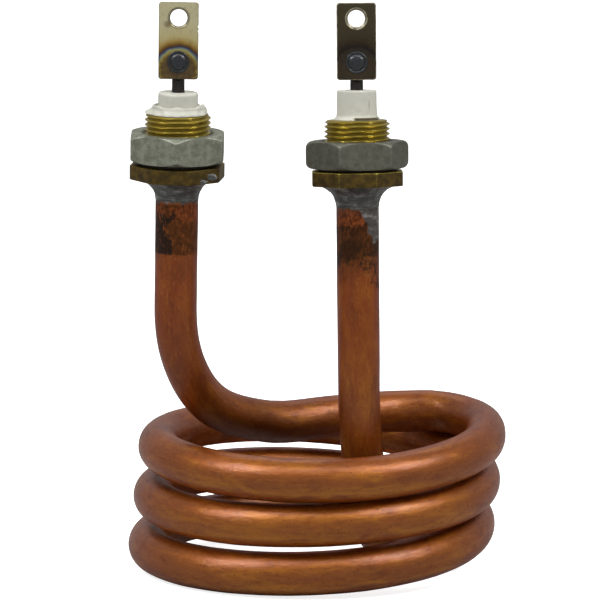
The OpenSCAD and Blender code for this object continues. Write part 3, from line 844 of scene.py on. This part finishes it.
def make_ceramic(side):
    """Stepped insulator: a spigot in the barrel, cement on the barrel's mouth and a boss round the pin."""
    top, base = BOSS_TOP[side], BARREL_TOP
    spigot = BARREL_BORE_R - 0.1
    if side == LEFT:
        outside = [
            (spigot, SHEATH_END + 0.05), (spigot, base + 0.05), (9.0, base + 0.05), (8.9, base + 0.5),
            (8.3, base + 1.2), (7.8, base + 1.9), (7.5, base + 2.5), (7.1, base + 2.55), (6.75, base + 2.0),
            (6.3, base + 1.75), (6.05, base + 2.2), (6.05, top - 0.1), (2.05, top), (2.05, SHEATH_END + 0.05),
        ]
        radii = [0, 0.05, 0.1, 0.3, 0.6, 0.5, 0.25, 0.25, 0.3, 0.2, 0.2, 0.75, 0.3, 0]
    else:
        outside = [
            (spigot, SHEATH_END + 0.05), (spigot, base + 0.05), (7.3, base + 0.05), (7.1, base + 0.4),
            (6.6, base + 0.75), (6.2, base + 1.3), (6.08, base + 3.0),
            (6.05, top - 0.1), (2.05, top), (2.05, SHEATH_END + 0.05),
        ]
        radii = [0, 0.05, 0.1, 0.3, 0.4, 0.5, 0.8, 0.5, 0.3, 0]
    outline = densify(rounded(outside, radii, 5), 0.4)

    def reshape(points):
        """Uneven cement round the left boss, and a gap in front of the right one."""
        x, y, z = points.T
        r, a = np.hypot(x, y), np.degrees(np.arctan2(y, x))
        if side == LEFT:
            cement = np.clip((r - 6.35) / 0.5, 0, 1) * (z > base)
            raised = np.clip((z - base) / 1.5, 0, 1) * cement
            curl = bell(a, -8, 20)
            spread = bell(np.abs(a), 180, 28) * np.clip(1 - (z - base) / 1.6, 0, 1)
            points[:, 2] += raised * (0.55 * noise_at(points * [1, 1, 0.2], 0.34, 43) + 0.55 * curl)
            grow = 1 + cement * (0.05 * noise_at(points, 0.5, 44) + 0.05 * curl * raised + 0.1 * spread)
            points[:, :2] *= grow[:, None]
        else:
            gap = np.clip((x + 1.4) / 0.8, 0, 1) * np.clip((7.4 - x) / 0.8, 0, 1) * (y < 0) * (z > base)
            gap *= np.clip(1 - (z - base - 0.5) / 0.4, 0, 1) * (r > 6.2)
            points[:, :2] *= (1 + gap * (6.15 / np.maximum(r, 1) - 1))[:, None]

    def dirt(points):
        """A grey ring in the left collar's groove, a crack, and painted shade in the dark gap in front on the
        right.
        """
        x, y, z = points.T
        if side == LEFT:
            return peak(z - base, 1.9, 0.5) * np.clip((np.hypot(x, y) - 6.2) * 3, 0, 1) * 0.25
        crack = peak(x, 3.7, 0.25) * peak(z - base, 4.6, 2.2) * 0.8
        # Painted shade in the gap in front of the right insulator.
        gap = np.clip(1 - np.abs(x - 3) / 4.2, 0, 0.2) * 5 * np.clip((base + 0.75 - z) / 0.3, 0, 1)
        return np.maximum(crack, gap) * (y < 0)

    make_turned(
        "insulator", outline, CERAMIC, "heater", "ceramic_insulator", side,
        count=160, wobble=0.13, scale=0.35, seed=41, sharp=50, reshape=reshape, dirt=dirt,
    )


def make_pin(side):
    """Round pin, flattened at the front where the tab lies on it."""
    count, edge, bottom, top = 48, 0.3, -30.0, TAB_BOTTOM[side] + 9
    hidden, seen = np.arange(bottom + 2, 20, 2), np.arange(20, top - edge, 0.35)
    heights = np.concatenate([[bottom, bottom + edge], hidden, seen, [top - edge, top]])
    radii = np.full(len(heights), PIN_R)
    radii[[0, -1]] = PIN_R - edge
    rows = np.array([(0.0, bottom), *zip(radii, heights), (0.0, top)])
    points = turned(rows[:, :1], rows[:, 1:], full_circle(count))
    shown = np.clip((points[:, 2] - BOSS_TOP[side] + 1) / 2, 0, 1)
    thinner = 0.05 if side == LEFT else 0.02
    points[:, :2] *= (1 + shown * (0.03 * noise_at(points, 0.7, 51 + side) - thinner))[:, None]
    on_tab = points[:, 2] > TAB_BOTTOM[side] - 0.35
    points[:, 1] = np.where(on_tab, np.maximum(points[:, 1], TAB_BACK_Y + 0.02), points[:, 1])
    faces = grid_faces(len(rows), count)[: (len(rows) - 1) * count]
    make_piece(
        NAMES[side] + "_steel_pin", points, faces, PIN, "heater", [NAMES[side] + "_terminal_pin"],
        leg_matrix(side), 35,
    )


def make_tab(side):
    """Flat tab with rounded edges, a countersunk screw hole and the hole that its weld fills."""
    half, middle = TAB_W / 2, np.array([0, TAB_H / 2])
    base = densify(rounded([(-half, 0), (half, 0), (half, TAB_H), (-half, TAB_H)], 1.0, 6), 0.3)

    def outline(inset):
        """The tab's edge moved inwards, slightly wavy, with two nicks in the left tab's right edge."""
        line = np.sign(base - middle) * np.maximum(np.abs(base - middle) - inset, 0) + middle
        wave = noise_at(np.column_stack([base, np.zeros(len(base))]), 0.5, 61 + side) * 0.05
        line = line + wave[:, None]
        if side == LEFT:
            for z, depth in ((16.0, 0.35), (14.6, 0.28)):
                line[:, 0] -= depth * bell(base[:, 1], z, 0.3) * (base[:, 0] > 5)
        return line

    def circle(r, z):
        a = full_circle(96)
        return np.column_stack([r * np.cos(a), z + r * np.sin(a)])

    front, back = TAB_BACK_Y - TAB_T, TAB_BACK_Y
    work = bmesh.new()
    worn = work.verts.layers.float.new("wear")

    def ring(line, y, shine):
        made = []
        for px, pz in line:
            v = work.verts.new((px, y, pz))
            v[worn] = shine
            made.append(v)
        return made

    def bridge(a, b):
        n = len(a)
        for i in range(n):
            work.faces.new((a[i], a[(i + 1) % n], b[(i + 1) % n], b[i]))

    def chain(stages):
        rings = [ring(*s) for s in stages]
        for a, b in zip(rings, rings[1:]):
            bridge(a, b)
        return rings[0], rings[-1]

    # Above zero the plating is worn bright, below zero it is grimy.
    shine = -0.45 if side == LEFT else 0.7
    rim = -1.6 if side == LEFT else 0.7
    outer = chain([
        (outline(0.3), front, 0.0), (outline(0.12), front + 0.05, shine),
        (outline(0.0), front + 0.22, shine * 0.6), (outline(0.0), back - 0.15, 0.0),
        (outline(0.12), back, 0.0),
    ])
    countersink = (
        (3.45, front, 0.0), (3.3, front + 0.01, shine * 1.3), (2.95, front + 0.2, rim * 0.3),
        (2.66, front + 0.45, rim * 0.7), (2.6, back - 0.1, 0.0), (2.7, back, 0.0),
    )
    hole = chain([(circle(r, TAB_HOLE_H), y, bright) for r, y, bright in countersink])
    weld = chain([(circle(1.95, WELD_H), front, 0.0), (circle(1.95, WELD_H), back, 0.0)])
    for end in (0, 1):
        edges = []
        for loop in (outer[end], hole[end], weld[end]):
            for i, v in enumerate(loop):
                w = loop[(i + 1) % len(loop)]
                edges.append(work.edges.get((v, w)) or work.edges.new((v, w)))
        bmesh.ops.triangle_fill(work, use_beauty=True, use_dissolve=False, edges=edges)
    work.verts.index_update()
    points = np.array([v.co for v in work.verts])
    wear = np.array([v[worn] for v in work.verts])
    faces = [[v.index for v in f.verts] for f in work.faces]
    work.free()
    place = np.column_stack([points[:, 0], points[:, 1], points[:, 2] - WELD_H])
    # The strip is not quite flat.
    points[:, 1] += 0.04 * noise_at(points * [1, 0, 1], 0.16, 63 + side)
    points[:, 2] += TAB_BOTTOM[side]
    make_piece(
        NAMES[side] + "_tab", points, faces, TAB[side], "heater", [NAMES[side] + "_terminal_tab"],
        leg_matrix(side), 30, tab=place, wear=wear,
    )


def make_weld(side):
    """Ring and dome of the weld, seen on the front of the tab, with the plug behind it."""
    count, dome_r, dome_h = 72, 2.35, 0.75
    theta = full_circle(count)
    face = [(3.4, -0.03), (3.34, 0.16), (3.1, 0.28), (2.86, 0.2), (2.7, 0.02), (2.5, 0.0), (2.38, 0.1)]
    for k in range(1, 9):
        r = dome_r * (1 - k / 8)
        dimple = 0.14 if r < 0.35 else 0.0
        face.append((r, 0.1 + dome_h * math.sqrt(max(0.0, 1 - (r / dome_r) ** 2)) - dimple))
    rows = np.array([(0.0, -0.95), (1.85, -0.95), (1.85, -0.03)] + face)
    radius, forward = rows[:, :1] * np.ones(count), rows[:, 1:] * np.ones(count)
    points = np.stack([radius * np.cos(theta), -forward, radius * np.sin(theta)], -1).reshape(-1, 3)
    points[:, 1] -= 0.05 * noise_at(points, 1.1, 71 + side) * (points[:, 1] < 0.01)
    points += [0, TAB_BACK_Y - TAB_T, TAB_BOTTOM[side] + WELD_H]
    faces = grid_faces(len(rows), count)[: (len(rows) - 1) * count]
    make_piece(
        NAMES[side] + "_weld", points, faces, WELD, "heater", [NAMES[side] + "_weld_plug"],
        leg_matrix(side), 50,
    )


for side in (LEFT, RIGHT):
    make_bushing(side)
    make_nut(side)
    make_gasket(side)
    make_solder(side)
    make_ceramic(side)
    make_pin(side)
    make_tab(side)
    make_weld(side)

# The parts sealed inside the sheath keep their CAD shapes.
sealed_in = {
    "magnesia_core": MAGNESIA, "resistance_coil": WIRE, "left_end_seal": SEAL, "right_end_seal": SEAL,
}
for node, material in sealed_in.items():
    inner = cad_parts[node]
    inner.data.materials.clear()
    inner.data.materials.append(material)


# ---------------------------------------------------------------- floor, light and camera
def floor_paint():
    """White where it is looked at. In reflections and bounced light it is a plain pale surface."""
    p = Paint("floor_white")
    seen = p.node("LightPath", "Is Camera Ray", {})
    p.put(p.shader.inputs["Emission Color"], (1.0, 1.0, 1.0, 1.0))
    pale = p.mix(seen, (0.36, 0.36, 0.36, 1.0), (0.9, 0.9, 0.9, 1.0))
    glow = p.times(seen, 0.8)
    return p.finish(base_color=pale, roughness=0.9, specular_ior_level=0.0, emission_strength=glow)


bpy.ops.mesh.primitive_plane_add(size=12, location=(0, 3, 0))
floor = bpy.context.object
floor.name = "floor"
floor.data.materials.append(floor_paint())

world = bpy.data.worlds.new("studio")
bpy.context.scene.world = world
world.use_nodes = True
tree = world.node_tree
tree.nodes.clear()
out = tree.nodes.new("ShaderNodeOutputWorld")
path = tree.nodes.new("ShaderNodeLightPath")


def sky(strength):
    """Plain white surroundings."""
    n = tree.nodes.new("ShaderNodeBackground")
    n.inputs[0].default_value, n.inputs[1].default_value = (1.0, 1.0, 1.0, 1.0), strength
    return n.outputs[0]


def choose(test, otherwise, then):
    """One shader for the rays that pass a Light Path test and another for the rest."""
    n = tree.nodes.new("ShaderNodeMixShader")
    for socket, source in zip(n.inputs, (path.outputs[test], otherwise, then)):
        tree.links.new(source, socket)
    return n.outputs[0]


# White behind the object, an even fill on it, and darker surroundings in its reflections
fill = choose("Is Glossy Ray", sky(0.5), sky(0.36))
tree.links.new(choose("Is Camera Ray", fill, sky(1.0)), out.inputs[0])

aim = Vector((0, 0, 0.07))


def softbox(name, azimuth, elevation, distance, width, height, watts):
    """Area light that faces the aim point. Azimuth 0 is the front, and positive is to the right."""
    a, e = math.radians(azimuth), math.radians(elevation)
    to_light = Vector((math.sin(a) * math.cos(e), -math.cos(a) * math.cos(e), math.sin(e)))
    data = bpy.data.lights.new(name, "AREA")
    data.shape, data.size, data.size_y, data.energy = "RECTANGLE", width, height, watts
    lamp = bpy.data.objects.new(name, data)
    lamp.location = aim + to_light * distance
    lamp.rotation_euler = to_light.to_track_quat("Z", "Y").to_euler()
    bpy.context.scene.collection.objects.link(lamp)


softbox("softbox_left", -62, 44, 1.3, 0.45, 0.25, 6)
softbox("softbox_right", 60, 44, 1.3, 0.45, 0.25, 6.5)
softbox("softbox_front", 0, 66, 1.5, 1.6, 0.25, 5.6)
softbox("softbox_back", 180, 50, 1.5, 0.8, 0.5, 1.4)

camera_data = bpy.data.cameras.new("camera")
camera_data.lens, camera_data.sensor_width = 236.34, 36.0
camera_data.clip_start, camera_data.clip_end = 0.05, 30.0
camera = bpy.data.objects.new("camera", camera_data)
camera.location = Vector((-5.16, -1219.37, 233.28)) * MM
camera.rotation_euler = (math.radians(90 - 6.95), 0, 0)
bpy.context.scene.collection.objects.link(camera)
bpy.context.scene.camera = camera
bpy.context.scene.view_settings.view_transform = "Standard"
